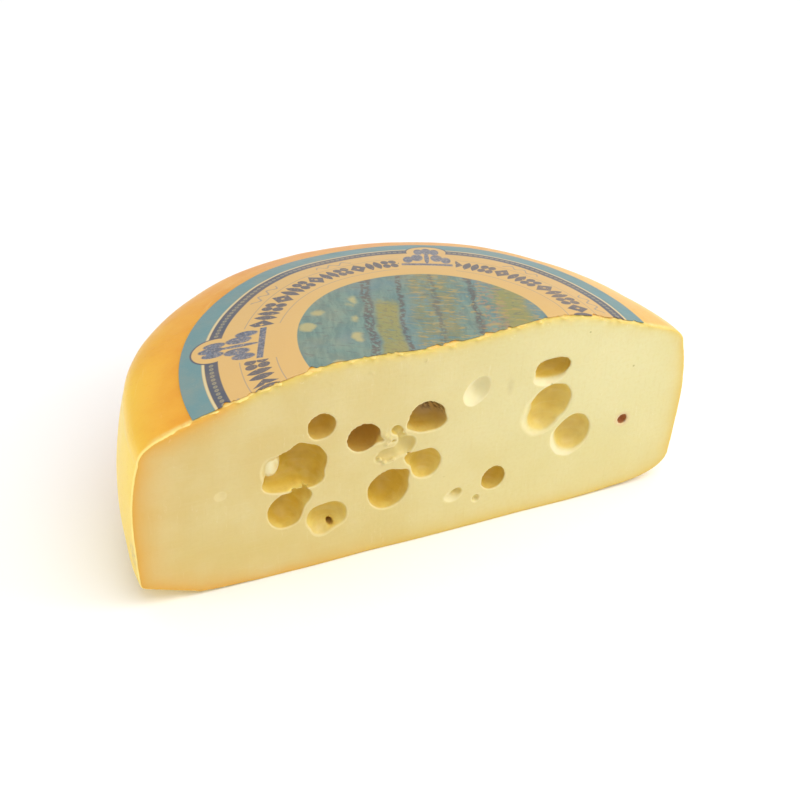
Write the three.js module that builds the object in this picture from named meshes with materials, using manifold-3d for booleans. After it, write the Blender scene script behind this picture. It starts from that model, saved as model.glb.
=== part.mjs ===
// Half a wheel of large-eyed cheese, lying on its base as it was cut, with a printed paper label on its top.
//
// Units are millimetres, +Z is up and the wheel's axis is parallel to Z. The cut face is flat and looks
// along -Y. The origin is the middle of the underside of the half wheel's bounding box.
//
// There are two pieces: the cheese, whose rind is its own dried outer skin, and the label stuck on it.

import * as THREE from 'three';
import { mergeVertices } from 'three/addons/utils/BufferGeometryUtils.js';
import Module from 'manifold-3d';

const wasm = await Module();
wasm.setup();

// ---------------------------------------------------------------------------------------------------------
// Driving dimensions
// ---------------------------------------------------------------------------------------------------------

// The wheel
const WHEEL_RADIUS = 175; // at the widest line of the bulging side
const WHEEL_HEIGHT = 138; // from the resting face to the level middle of the top
const CUT_TO_AXIS = 5; // the knife passed this far in front of the wheel's axis

// The underside: level in the middle, lifting gently towards the rim, then turning up round the base edge
const RESTING_RADIUS = 90;
const BASE_LIFT = 2.5; // how far the underside has lifted where the base edge begins
const BASE_EDGE_WIDTH = 30; // how far inside the widest radius the base edge begins
const BASE_EDGE_HEIGHT = 21; // where the base edge has turned into the side
const BASE_CORNER_HEIGHT = 6.5; // where the underside and the side would meet if the base edge were sharp

// The side: a low bulge
const WIDEST_HEIGHT = 60;
const SIDE_INSET_LOW = 2.4; // at the top of the base edge
const SIDE_INSET_HIGH = 5; // at the foot of the shoulder

// The top: a level middle, a long slope down and a tight shoulder
const SHOULDER_INSET = 19; // how far inside the widest radius the slope ends and the shoulder begins
const SHOULDER_DROP = 22.5; // how far the slope has come down there
const SHOULDER_HEIGHT = 14.5; // from the slope's end down to the foot of the shoulder
const SHOULDER_CORNER_DROP = 5; // from the slope's end down to where a sharp shoulder would have its corner
const LEVEL_RADIUS = 60; // the level middle of the top
const SLOPE_START_RADIUS = 89; // where the straight slope, run on upwards, would meet the top's level

// The label
const LABEL_MARGIN = 16.5; // bare rind between the label's edge and the shoulder
const LABEL_THICKNESS = 0.5; // paper under a clear glaze
const LABEL_CLEARANCE = 0.3; // the label follows the top of the cheese at this distance

// Facets
const WHEEL_SEGMENTS = 72; // round the whole wheel, a multiple of 4
const EDGE_DIVISIONS = 4; // along the base edge and along the shoulder
const SIDE_DIVISIONS = 3; // along each half of the side
const SLOPE_DIVISIONS = 7; // along the top's slope
const LARGE_EYE = 16; // eyes this wide or wider have the finer ball
const LARGE_EYE_DETAIL = 3;
const SMALL_EYE_DETAIL = 1;

// The eyes, which are the gas holes that the cut has opened. Each is one ball or several that run together.
//   across, up   the mouth's middle on the cut face, from the wheel's axis and from mid height
//   mouth        its width and height there
//   inset        how far the ball's middle is behind the cut face: less than zero gives a shallow dish
//   depth        the deepest point behind the cut face
//   tilt         degrees that the mouth is turned, anticlockwise as the cut face is looked at
//   from         depth at which the mouth is measured, where it opens in the floor of another eye
const EYES = [
  // small deep eye, upper left
  { across: -65, up: 30.9, mouth: [16, 16.6], inset: 4.5, depth: 14.5 },
  // deep round eye with a cusp at its right
  { across: -39.3, up: 16.6, mouth: [19.4, 18.8], inset: 8, depth: 22 },
  { across: -30.2, up: 12.5, mouth: [8, 4], inset: 0, depth: 3, tilt: -25 },
  // the largest eye: a ball, bumps above it, a lobe at the lower left and a shallow step at the upper left
  { across: -75.5, up: 6.7, mouth: [28, 29], inset: 4, depth: 21 },
  { across: -78.5, up: 18.1, mouth: [10, 8.5], inset: 2, depth: 11 },
  { across: -70.5, up: -3.2, mouth: [15, 14], inset: 2, depth: 15 },
  { across: -84.5, up: 12.2, mouth: [15, 14], inset: 2, depth: 13 },
  { across: -89.5, up: -2.1, mouth: [21, 13.5], inset: 3, depth: 15, tilt: -4 },
  { across: -82, up: -3.7, mouth: [22, 11], inset: 2, depth: 15 },
  { across: -94.5, up: 7.7, mouth: [12.5, 19], inset: -3, depth: 3.2 },
  // below it, a ball with a lobe at its upper right
  { across: -85.6, up: -22.9, mouth: [21.5, 24.5], inset: 3, depth: 16 },
  { across: -78.5, up: -16.6, mouth: [17.5, 13.5], inset: 1, depth: 12, tilt: 22 },
  // a wide shallow dish with a pin hole in its floor
  { across: -60.5, up: -34.3, mouth: [25.5, 20.5], inset: -1, depth: 10, tilt: -4 },
  { across: -63.5, up: -40.8, mouth: [13, 12], inset: -3, depth: 6 },
  { across: -56.6, up: -43, mouth: [4.2, 4.2], inset: 9, depth: 15, from: 7 },
  // a teardrop
  { across: -22.6, up: -25.1, mouth: [25.5, 27.5], inset: 3, depth: 19 },
  { across: -15.4, up: -18.5, mouth: [13, 10.5], inset: 2, depth: 12, tilt: 40 },
  // right of the middle, one above the other
  { across: -0.5, up: 20.9, mouth: [22.6, 20.5], inset: 4, depth: 18, tilt: -10 },
  { across: -8.4, up: 17.9, mouth: [8, 7], inset: 2, depth: 11 },
  { across: 5.5, up: 16.1, mouth: [13, 11], inset: 3, depth: 14 },
  { across: 0.9, up: -12.4, mouth: [18.6, 21], inset: 1, depth: 10.5 },
  { across: -7, up: -6.3, mouth: [12.5, 7.5], inset: 1, depth: 8, tilt: -16 },
  { across: -5.2, up: -7, mouth: [13, 7.5], inset: 1, depth: 8, tilt: 20 },
  // a ragged group of shallow eyes between them
  { across: -13, up: 4.2, mouth: [13, 13.5], inset: -1, depth: 5.5 },
  { across: -15.8, up: 11.2, mouth: [4.5, 9], inset: 0, depth: 4, tilt: 12 },
  { across: -22.5, up: 0.3, mouth: [19, 10], inset: -3, depth: 4, tilt: 10 },
  { across: -19, up: 16.5, mouth: [6.4, 6.4], inset: 0, depth: 4.5 },
  { across: -21.5, up: 9.3, mouth: [5.5, 2.4], inset: 0, depth: 2.5 },
  // a pale tilted dish, upper right of the middle
  { across: 32.6, up: 32.7, mouth: [12, 16.5], inset: -4, depth: 5, tilt: -15 },
  { across: 29.4, up: 30.9, mouth: [14, 18.5], inset: -5, depth: 3.4, tilt: -15 },
  // the group of three at the right, each with a shallow lip
  { across: 79.6, up: 36.1, mouth: [22.5, 14.5], inset: 4, depth: 12 },
  { across: 78, up: 30.2, mouth: [21, 11], inset: -3, depth: 3.6, tilt: 4 },
  { across: 81.5, up: 11, mouth: [26, 26.5], inset: 0, depth: 12 },
  { across: 77, up: 0.7, mouth: [20, 19], inset: -1, depth: 9.5 },
  { across: 75.2, up: 4.2, mouth: [26, 29], inset: -7, depth: 3.6, tilt: -8 },
  { across: 98.8, up: -15.7, mouth: [23.5, 27], inset: -1, depth: 11 },
  { across: 94.9, up: -18.6, mouth: [22, 26], inset: -7, depth: 3 },
  // single small eyes, low in the middle
  { across: 46.6, up: -36.1, mouth: [15, 15.8], inset: 4, depth: 12 },
  { across: 22.6, up: -40.2, mouth: [7, 6], inset: 0, depth: 4 },
  { across: 19.8, up: -42.7, mouth: [10, 7.5], inset: -3, depth: 2 },
  { across: 35.9, up: -48.5, mouth: [4.8, 5.4], inset: 0, depth: 2.4 },
  // a pin hole near the right end
  { across: 133.3, up: -14.5, mouth: [6.2, 6.8], inset: 2, depth: 6 },
];

// ---------------------------------------------------------------------------------------------------------
// Solids
// ---------------------------------------------------------------------------------------------------------

const MERGE_DISTANCE = 1e-4;

// Turns a closed three.js geometry into a solid: shared vertices are merged and the triangles that collapse
// on the axis of a lathe are dropped.
function toSolid(geometry) {
  geometry.deleteAttribute('normal');
  geometry.deleteAttribute('uv');
  const merged = mergeVertices(geometry, MERGE_DISTANCE);
  const corners = merged.index.array;
  const kept = [];
  for (let i = 0; i < corners.length; i += 3) {
    const [a, b, c] = corners.slice(i, i + 3);
    if (a !== b && b !== c && c !== a) {
      kept.push(a, b, c);
    }
  }
  return new wasm.Manifold(new wasm.Mesh({
    numProp: 3,
    vertProperties: new Float32Array(merged.attributes.position.array),
    triVerts: new Uint32Array(kept),
  }));
}

// Makes the named mesh of a finished solid.
function toMesh(name, solid, material) {
  const { vertProperties, triVerts } = solid.getMesh();
  const geometry = new THREE.BufferGeometry();
  geometry.setAttribute('position', new THREE.BufferAttribute(vertProperties, 3));
  geometry.setIndex(new THREE.BufferAttribute(triVerts, 1));
  geometry.computeVertexNormals();
  const mesh = new THREE.Mesh(geometry, material);
  mesh.name = name;
  return mesh;
}

// Revolves a profile of (radius, height) points round the Z axis.
function revolve(profile) {
  const geometry = new THREE.LatheGeometry(profile, WHEEL_SEGMENTS);
  geometry.rotateX(Math.PI / 2);
  return toSolid(geometry);
}

// The block of space in front of the cut face, larger than the wheel in every direction.
function spaceInFrontOfTheCut() {
  const size = 2 * (WHEEL_RADIUS + WHEEL_HEIGHT);
  const geometry = new THREE.BoxGeometry(size, size, size);
  geometry.translate(0, -CUT_TO_AXIS - size / 2, 0);
  return toSolid(geometry);
}

// ---------------------------------------------------------------------------------------------------------
// Profiles
// ---------------------------------------------------------------------------------------------------------

const slopeEnd = new THREE.Vector2(WHEEL_RADIUS - SHOULDER_INSET, WHEEL_HEIGHT - SHOULDER_DROP);

// The top from the end of its slope in to its level middle, as points.
function topPoints() {
  const slope = new THREE.QuadraticBezierCurve(
    slopeEnd,
    new THREE.Vector2(SLOPE_START_RADIUS, WHEEL_HEIGHT),
    new THREE.Vector2(LEVEL_RADIUS, WHEEL_HEIGHT),
  );
  return slope.getPoints(SLOPE_DIVISIONS);
}

// The underside, the base edge, the side and the shoulder, as points from the axis outwards and up.
function sidePoints() {
  const baseEdgeStart = WHEEL_RADIUS - BASE_EDGE_WIDTH;
  const sideFoot = new THREE.Vector2(WHEEL_RADIUS - SIDE_INSET_LOW, BASE_EDGE_HEIGHT);
  const sideHead = new THREE.Vector2(WHEEL_RADIUS - SIDE_INSET_HIGH, slopeEnd.y - SHOULDER_HEIGHT);
  const edgeCorner = new THREE.Vector2(sideFoot.x, BASE_CORNER_HEIGHT);
  const footToWidest = new THREE.Vector2(WHEEL_RADIUS, (BASE_EDGE_HEIGHT + WIDEST_HEIGHT) / 2);
  const widestToHead = new THREE.Vector2(WHEEL_RADIUS, (WIDEST_HEIGHT + sideHead.y) / 2);
  const shoulderCorner = new THREE.Vector2(sideHead.x, slopeEnd.y - SHOULDER_CORNER_DROP);

  const underside = new THREE.QuadraticBezierCurve(
    new THREE.Vector2(RESTING_RADIUS, 0),
    new THREE.Vector2((RESTING_RADIUS + baseEdgeStart) / 2, 0),
    new THREE.Vector2(baseEdgeStart, BASE_LIFT),
  );
  const baseEdge = new THREE.QuadraticBezierCurve(underside.v2, edgeCorner, sideFoot);
  const lowerSide = new THREE.QuadraticBezierCurve(
    sideFoot,
    footToWidest,
    new THREE.Vector2(WHEEL_RADIUS, WIDEST_HEIGHT),
  );
  const upperSide = new THREE.QuadraticBezierCurve(lowerSide.v2, widestToHead, sideHead);
  const shoulder = new THREE.QuadraticBezierCurve(sideHead, shoulderCorner, slopeEnd);

  return [
    new THREE.Vector2(0, 0),
    ...underside.getPoints(SIDE_DIVISIONS),
    ...baseEdge.getPoints(EDGE_DIVISIONS).slice(1),
    ...lowerSide.getPoints(SIDE_DIVISIONS).slice(1),
    ...upperSide.getPoints(SIDE_DIVISIONS).slice(1),
    ...shoulder.getPoints(EDGE_DIVISIONS).slice(1),
  ];
}

// The top's points inside a radius, with one more exactly at that radius on the straight between its
// neighbours, so that a label made from them lies parallel to the facets of the cheese.
function topPointsWithin(radius) {
  const points = topPoints();
  const inner = points.findIndex((point) => point.x < radius);
  const outside = points[inner - 1];
  const inside = points[inner];
  const share = (radius - outside.x) / (inside.x - outside.x);
  return [outside.clone().lerp(inside, share), ...points.slice(inner)];
}

// ---------------------------------------------------------------------------------------------------------
// Pieces
// ---------------------------------------------------------------------------------------------------------

// One ball of an eye, as a solid.
function eyeBall({ across, up, mouth, inset, depth, tilt = 0, from = 0 }) {
  const [width, height] = mouth;
  const deepRadius = depth - inset;
  const swell = 1 / Math.sqrt(1 - ((inset - from) / deepRadius) ** 2);
  const detail = width >= LARGE_EYE ? LARGE_EYE_DETAIL : SMALL_EYE_DETAIL;
  const geometry = new THREE.IcosahedronGeometry(1, detail);
  geometry.scale((width / 2) * swell, deepRadius, (height / 2) * swell);
  geometry.rotateY(-THREE.MathUtils.degToRad(tilt));
  geometry.translate(across, inset - CUT_TO_AXIS, WHEEL_HEIGHT / 2 + up);
  return toSolid(geometry);
}

// The cheese: the whole wheel, cut across and with its opened eyes.
function cheeseSolid() {
  const profile = [...sidePoints(), ...topPoints().slice(1), new THREE.Vector2(0, WHEEL_HEIGHT)];
  let solid = revolve(profile).subtract(spaceInFrontOfTheCut());
  for (const eye of EYES) {
    solid = solid.subtract(eyeBall(eye));
  }
  return solid;
}

// The label: a sheet that follows the top of the cheese and was cut with it.
function labelSolid() {
  const edge = topPointsWithin(slopeEnd.x - LABEL_MARGIN);
  const raised = (height) => edge.map((point) => new THREE.Vector2(point.x, point.y + height));
  const under = raised(LABEL_CLEARANCE);
  const over = raised(LABEL_CLEARANCE + LABEL_THICKNESS);
  const profile = [
    new THREE.Vector2(0, WHEEL_HEIGHT + LABEL_CLEARANCE),
    ...under.reverse(),
    ...over,
    new THREE.Vector2(0, WHEEL_HEIGHT + LABEL_CLEARANCE + LABEL_THICKNESS),
  ];
  return revolve(profile).subtract(spaceInFrontOfTheCut());
}

// ---------------------------------------------------------------------------------------------------------
// Half wheel
// ---------------------------------------------------------------------------------------------------------

const cheesePaste = new THREE.MeshStandardMaterial({ color: '#e6d192', roughness: 0.55, metalness: 0 });
const glazedPaper = new THREE.MeshStandardMaterial({ color: '#b9b18a', roughness: 0.4, metalness: 0 });

const halfWheel = new THREE.Group();
halfWheel.add(toMesh('cheese', cheeseSolid(), cheesePaste));
halfWheel.add(toMesh('label', labelSolid(), glazedPaper));
// The cut face and the back of the rind are equally far from the origin.
halfWheel.position.y = (CUT_TO_AXIS - WHEEL_RADIUS) / 2;

export default halfWheel;
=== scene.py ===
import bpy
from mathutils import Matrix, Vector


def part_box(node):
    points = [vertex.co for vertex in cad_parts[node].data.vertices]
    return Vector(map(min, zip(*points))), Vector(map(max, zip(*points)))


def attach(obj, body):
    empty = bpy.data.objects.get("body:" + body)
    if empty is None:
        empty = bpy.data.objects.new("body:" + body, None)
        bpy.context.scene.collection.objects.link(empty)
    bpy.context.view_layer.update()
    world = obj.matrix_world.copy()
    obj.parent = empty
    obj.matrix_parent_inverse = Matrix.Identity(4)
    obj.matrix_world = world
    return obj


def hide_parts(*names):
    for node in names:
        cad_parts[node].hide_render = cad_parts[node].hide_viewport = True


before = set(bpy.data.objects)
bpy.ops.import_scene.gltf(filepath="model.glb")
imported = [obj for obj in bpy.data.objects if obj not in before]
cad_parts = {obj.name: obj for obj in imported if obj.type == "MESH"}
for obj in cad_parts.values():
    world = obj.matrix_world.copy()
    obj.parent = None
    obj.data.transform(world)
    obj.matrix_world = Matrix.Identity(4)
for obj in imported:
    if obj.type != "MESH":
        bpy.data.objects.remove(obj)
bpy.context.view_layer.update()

"""The looks of half a wheel of large-eyed cheese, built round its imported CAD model.

Two pieces: the cheese (paste, opened gas holes and rind, one closed skin) and the printed paper label.
Shapes are worked out in millimetres in the model's own frame (+Z up, the cut face looks along -Y) and
turned into metres as each mesh is made.
"""

import math
from collections import namedtuple

import bpy
import numpy as np
from mathutils import Matrix, Vector

MM = 0.001

# ------------------------------------------------------------
# Sizes, from the frame where it has them
# ------------------------------------------------------------

LOW, HIGH = (np.array(corner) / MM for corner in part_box("cheese"))
WHEEL_RADIUS = (HIGH[0] - LOW[0]) / 2
WHEEL_HEIGHT = HIGH[2]
CUT_Y = LOW[1]
AXIS_Y = HIGH[1] - WHEEL_RADIUS
LABEL_INSET = 0.9  # the paper is a little smaller than its place
LABEL_RADIUS = (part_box("label")[1][0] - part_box("label")[0][0]) / 2 / MM - LABEL_INSET
LABEL_SHIFT = 0.9  # and its middle is a little to the right of the wheel's axis

# The wheel's section, as the CAD model has it
RESTING_RADIUS = 90
BASE_LIFT = 2.5
BASE_EDGE_WIDTH = 30
BASE_EDGE_HEIGHT = 21
BASE_CORNER_HEIGHT = 6.5
WIDEST_HEIGHT = 60
SIDE_INSET_LOW = 2.4
SIDE_INSET_HIGH = 5
SHOULDER_INSET = 19
SHOULDER_DROP = 22.5
SHOULDER_HEIGHT = 14.5
SHOULDER_CORNER_DROP = 5
LEVEL_RADIUS = 60
SLOPE_START_RADIUS = 89
SECTION_STEPS = 14  # in each of its curves

# How far the real thing strays from that section
KNIFE_EDGE = 0.9  # rounding where the cut meets the rind
SWELL_SIZE = 46  # the rind's broad hollows and swellings
SWELL_HEIGHT = 0.9
DIMPLE_SIZE = 13  # the rind's small dimples
DIMPLE_HEIGHT = 0.16
RIND_HOLD_BACK = 0.4  # keeps the swellings inside the wheel's plain shape
RIND_LEVEL_TO = 30  # swellings grow from nothing at the base to their full height here
BACK_DROP = 3.4  # how much lower the wheel stands at its back
BACK_DROP_BEND = 2.5
RIM_DROP = 2.4  # how much lower still its shoulder is there, more so to the right
RIM_DROP_LEAN = 1.0
RIM_DROP_START = 140
RIM_DROP_REACH = 22
RIM_DROP_GROWTH = 4  # it is at its full in the first quarter of the way to the back
TOP_WAVES = [(-50, 28, 1.8), (5, 26, -3.0), (92, 34, 4.2)]  # across, half width, height
TOP_WAVE_REACH = 52  # how far back from the cut they run
CORNER_FROM = (140, 3.0)  # the left base edge is flatter: straight between these places in the section
CORNER_TO = (172.4, 15.4)
CORNER_SIDE = -140  # where along the cut it begins to fade
CORNER_FADE = 30  # over this far along the cut
CORNER_DEPTH = 30  # how far behind the cut it begins to fade
CORNER_DEPTH_FADE = 60
CORNER_CLEAR = 8  # how far out it has moved where it has faded
CORNER_TOP = 40  # it cuts only what is lower than this
CORNER_ROUNDING = 1.6
EDGE_CHIP_SIZE = 3.2  # chips and crumbs along the top edge of the cut
EDGE_CHIP_HEIGHT = 1.25
EDGE_CHIP_REACH = 2.3
EDGE_CHIP_FROM = 114  # they begin at this height
EDGE_CHIP_GROWTH = 8
EDGE_CHIP_LEAN = 0.3  # more is chipped away than is left standing
CUT_WAVE_SIZE = 34  # the knife's slow wander
CUT_WAVE_HEIGHT = 0.3

# Mesh
FINE_STEP = 1.1  # grid step on the cut face and in the eyes
COARSE_STEP = 3.6  # grid step across the back
FINE_DEPTH = 29  # behind the cut face
STEP_GROWTH = 1.15
GRID_MARGIN = 3
BACK_KEPT = 0.3  # share of the back's triangles that are kept
SETTLE_ROUNDS = 3
SETTLE_REACH = 0.6  # the furthest that a point moves in one round
LEAST_STEEP = 0.2  # where the field is flatter than this, its slope isn't trusted

# ------------------------------------------------------------
# Eyes: the gas holes that the cut has opened
# ------------------------------------------------------------

# A ball's mouth is at (across, up) on the cut face, from the wheel's axis and from mid height. inset is how
# far its middle is behind the face, depth its deepest point, tilt its turn in degrees, and floor the depth
# at which the mouth is measured. tone is its wall's colour: 0 as pale as the paste, 1 golden, 2 brown,
# 3 reddish; below 0 the wall is painted whitish, down to -0.6, as painted highlight on lit walls.
Ball = namedtuple("Ball", "across up width height inset depth tilt floor tone", defaults=(0, 0, 1))

# balls run together into one eye. rim is the rounding of its edge, rough the height of its unevenness, and
# stubs are balls of paste left standing in it.
Eye = namedtuple("Eye", "balls rim rough stubs", defaults=((),))

EYES = [
    Eye([Ball(-65, 30.9, 16, 16.6, 4.5, 14.5, tone=1.3)], 0.5, 0.5),
    Eye(
        [
            Ball(-39.3, 16.6, 19.4, 18.8, 8, 22, tone=1.5),
            Ball(-30.2, 12.5, 8, 4, 0, 3, -25, tone=1.2),
        ],
        0.5, 0.5,
    ),
    Eye(
        [
            Ball(-75.5, 6.7, 28, 29, 4, 21),
            Ball(-78.5, 18.1, 10, 8.5, 2, 11),
            Ball(-70.5, -3.2, 15, 14, 2, 15),
            Ball(-84.5, 12.2, 15, 14, 2, 13),
            Ball(-89.5, -2.1, 21, 13.5, 3, 15, -4, tone=1.05),
            Ball(-82, -3.7, 22, 11, 2, 15),
            Ball(-94.5, 7.7, 12.5, 19, -3, 3.2, tone=0.1),
        ],
        0.6, 0.7,
        [Ball(-94.4, 9.6, 15, 22, 12, 22.8, 2, 12, tone=-0.5)],
    ),
    Eye([Ball(-85.6, -22.9, 21.5, 24.5, 3, 16), Ball(-78.5, -16.6, 17.5, 13.5, 1, 12, 22)], 0.6, 0.5),
    Eye(
        [
            Ball(-60.5, -34.3, 25.5, 20.5, -1, 10, -4, tone=0.75),
            Ball(-63.5, -40.8, 13, 12, -3, 6, tone=0.4),
            Ball(-56.6, -43.0, 4.2, 4.2, 9, 15, 0, 7, tone=1.6),
        ],
        0.9, 0.6,
    ),
    Eye([Ball(-22.6, -25.1, 25.5, 27.5, 3, 19), Ball(-15.4, -18.5, 13, 10.5, 2, 12, 40)], 0.6, 0.4),
    Eye(
        [
            Ball(-0.5, 20.9, 22.6, 20.5, 4, 18, -10, tone=1.3),
            Ball(-8.4, 17.9, 8, 7, 2, 11, tone=1.25),
            Ball(5.5, 16.1, 13, 11, 3, 14, tone=1.25),
        ],
        0.5, 0.6,
    ),
    Eye(
        [
            Ball(0.9, -12.4, 18.6, 21, 1, 10.5, tone=0.85),
            Ball(-7, -6.3, 12.5, 7.5, 1, 8, -16),
            Ball(-5.2, -7, 13, 7.5, 1, 8, 20, tone=0.9),
        ],
        0.6, 0.5,
    ),
    Eye(
        [
            Ball(-13, 4.2, 13, 13.5, -1, 5.5, tone=0.35),
            Ball(-15.8, 11.2, 4.5, 9, 0, 4, 12, tone=0.5),
            Ball(-22.5, 0.3, 19, 10, -3, 4, 10, tone=0.25),
            Ball(-19, 16.5, 6.4, 6.4, 0, 4.5, tone=0.8),
            Ball(-21.5, 9.3, 5.5, 2.4, 0, 2.5, tone=0.8),
        ],
        0.5, 0.9,
    ),
    Eye(
        [
            Ball(32.6, 32.7, 12, 16.5, -4, 5, -15, tone=-0.3),
            Ball(29.4, 30.9, 14, 18.5, -5, 3.4, -15, tone=-0.6),
        ],
        0.5, 0.3,
    ),
    Eye([Ball(79.6, 36.1, 22.5, 14.5, 4, 12), Ball(78, 30.2, 21, 11, -3, 3.6, 4, tone=-0.4)], 0.6, 0.5),
    Eye(
        [
            Ball(81.5, 11, 26, 26.5, 0, 12, tone=0.75),
            Ball(77, 0.7, 20, 19, -1, 9.5, tone=0.65),
            Ball(75.2, 4.2, 26, 29, -7, 3.6, -8, tone=-0.2),
        ],
        0.7, 0.6,
    ),
    Eye(
        [
            Ball(98.8, -15.7, 23.5, 27, -1, 11, tone=0.65),
            Ball(94.9, -18.6, 22, 26, -7, 3.0, tone=-0.5),
        ],
        0.7, 0.5,
    ),
    Eye([Ball(46.6, -36.1, 15, 15.8, 4, 12)], 0.5, 0.4),
    Eye([Ball(22.6, -40.2, 7, 6, 0, 4, tone=0.6), Ball(19.8, -42.7, 10, 7.5, -3, 2, tone=-0.3)], 0.8, 0.3),
    Eye([Ball(35.9, -48.5, 4.8, 5.4, 0, 2.4, tone=0.4)], 0.5, 0.2),
    Eye([Ball(-124.2, -1.1, 5.2, 4.4, -4, 0.6, tone=0.05)], 0.8, 0.2),
    Eye([Ball(133.3, -14.5, 6.2, 6.8, 2, 6, tone=3)], 0.4, 0.2),
]
TONE_BLEND = 0.7  # how softly one ball's colour passes into the next one's
STUB_EDGE = 0.6
LOBE_BLEND = 2.2  # rounding where two balls of an eye run together
EYE_UNEVEN_SIZE = 7  # size of the unevenness of an eye's wall
EYE_REACH_SHARE = 0.75  # an eye is worked out this share of its size away from its middle
EYE_REACH = 6  # and this much further
NO_EYE = 60.0  # the distance that is kept where no eye is near

# Crumbs of paste that cling to the cut face, as (across, up, radius), placed like the eyes
CRUMBS = [
    (-28.9, -1.8, 1.3),
    (-26.0, -4.4, 1.5),
    (-23.2, -4.9, 1.2),
    (-20.7, -3.7, 1.0),
    (-25.9, 14.4, 1.9),
    (-23.3, 10.9, 1.5),
    (-25.0, 8.5, 1.2),
    (-31.0, 2.3, 0.9),
    (-14.2, 14.3, 1.1),
    (-3.0, 60.7, 1.2),
    (-36.0, 60.2, 0.8),
    (-59.0, 58.2, 0.9),
    (-88.0, 39.7, 0.8),
]
CRUMB_SUNK = 0.35  # share of a crumb's radius behind the face
CRUMB_BLEND = 0.8
CRUMB_UNEVEN_SIZE = 1.6
CRUMB_UNEVEN_HEIGHT = 0.4
CRUMB_REACH = 4  # crumbs are worked out this near to the cut face
NO_CRUMB = 9.0  # the distance that is kept where no crumb is near

# ------------------------------------------------------------
# Fields: negative inside, positive outside, in millimetres
# ------------------------------------------------------------

NOISE_CELLS = 32  # the noise repeats after that many of its sizes


def smooth_noise(points, size, seed):
    """Smooth random values from -1 to 1 over space, which change over about that size."""
    lattice = np.random.default_rng(seed).uniform(-1, 1, (NOISE_CELLS,) * 3).astype(np.float32)
    scaled = points / size
    base = np.floor(scaled).astype(int)
    part = scaled - base
    part = part * part * (3 - 2 * part)
    total = np.zeros(len(points))
    for corner in np.ndindex(2, 2, 2):
        weight = np.prod(np.where(corner, part, 1 - part), axis=1)
        i, j, k = ((base + corner) % NOISE_CELLS).T
        total += weight * lattice[i, j, k]
    return total


def smooth_min(a, b, rounding):
    """The smaller of two fields, with the crease between them rounded."""
    blend = np.maximum(rounding - np.abs(a - b), 0) / rounding
    return np.minimum(a, b) - blend * blend * rounding / 4


def smooth_max(a, b, rounding):
    return -smooth_min(-a, -b, rounding)


def bezier(start, corner, end):
    t = np.linspace(0, 1, SECTION_STEPS + 1)[:, None]
    return (1 - t) ** 2 * np.array(start) + 2 * t * (1 - t) * np.array(corner) + t**2 * np.array(end)


def section_points():
    """The wheel's section as (radius, height) points: from the axis along the underside, up the side and
    back to the axis along the top."""
    edge_start = WHEEL_RADIUS - BASE_EDGE_WIDTH
    foot = (WHEEL_RADIUS - SIDE_INSET_LOW, BASE_EDGE_HEIGHT)
    slope_end = (WHEEL_RADIUS - SHOULDER_INSET, WHEEL_HEIGHT - SHOULDER_DROP)
    head = (WHEEL_RADIUS - SIDE_INSET_HIGH, slope_end[1] - SHOULDER_HEIGHT)
    middle = (WHEEL_RADIUS, WIDEST_HEIGHT)
    curves = [
        ((RESTING_RADIUS, 0), ((RESTING_RADIUS + edge_start) / 2, 0), (edge_start, BASE_LIFT)),
        ((edge_start, BASE_LIFT), (foot[0], BASE_CORNER_HEIGHT), foot),
        (foot, (WHEEL_RADIUS, (BASE_EDGE_HEIGHT + WIDEST_HEIGHT) / 2), middle),
        (middle, (WHEEL_RADIUS, (WIDEST_HEIGHT + head[1]) / 2), head),
        (head, (head[0], slope_end[1] - SHOULDER_CORNER_DROP), slope_end),
        (slope_end, (SLOPE_START_RADIUS, WHEEL_HEIGHT), (LEVEL_RADIUS, WHEEL_HEIGHT)),
    ]
    lines = [bezier(*curve) for curve in curves]
    return np.vstack([[(0, 0)], *lines, [(0, WHEEL_HEIGHT)]])


class Section:
    """The distance to the wheel's section, looked up in a fine table."""

    STEP = 0.5
    MARGIN = 12

    def __init__(self):
        points = section_points()
        self.radii = np.arange(0, WHEEL_RADIUS + self.MARGIN, self.STEP)
        self.heights = np.arange(-self.MARGIN, WHEEL_HEIGHT + self.MARGIN, self.STEP)
        r, z = np.meshgrid(self.radii, self.heights, indexing="ij")
        here = np.stack([r, z], -1)
        distance = np.full(r.shape, np.inf)
        for start, end in zip(points[:-1], points[1:]):
            along = end - start
            length = along @ along
            if length == 0:
                continue
            share = np.clip(((here - start) @ along) / length, 0, 1)
            away = np.linalg.norm(here - start - share[..., None] * along, axis=-1)
            distance = np.minimum(distance, away)
        rising = points[: np.argmax(points[:, 0]) + 1]
        falling = points[np.argmax(points[:, 0]) :]
        lower = np.interp(z, rising[:, 1], rising[:, 0])
        upper = np.interp(z, falling[:, 1], falling[:, 0])
        reach = np.where(z < WIDEST_HEIGHT, lower, upper)
        inside = (z > 0) & (z < WHEEL_HEIGHT) & (r < reach)
        self.table = np.where(inside, -distance, distance)

    def __call__(self, radius, height):
        i = np.clip(radius / self.STEP, 0, len(self.radii) - 1.001)
        j = np.clip((height + self.MARGIN) / self.STEP, 0, len(self.heights) - 1.001)
        i0, j0 = i.astype(int), j.astype(int)
        a, b = i - i0, j - j0
        table = self.table
        low = table[i0, j0] * (1 - a) + table[i0 + 1, j0] * a
        high = table[i0, j0 + 1] * (1 - a) + table[i0 + 1, j0 + 1] * a
        return low * (1 - b) + high * b


section = Section()


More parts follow.
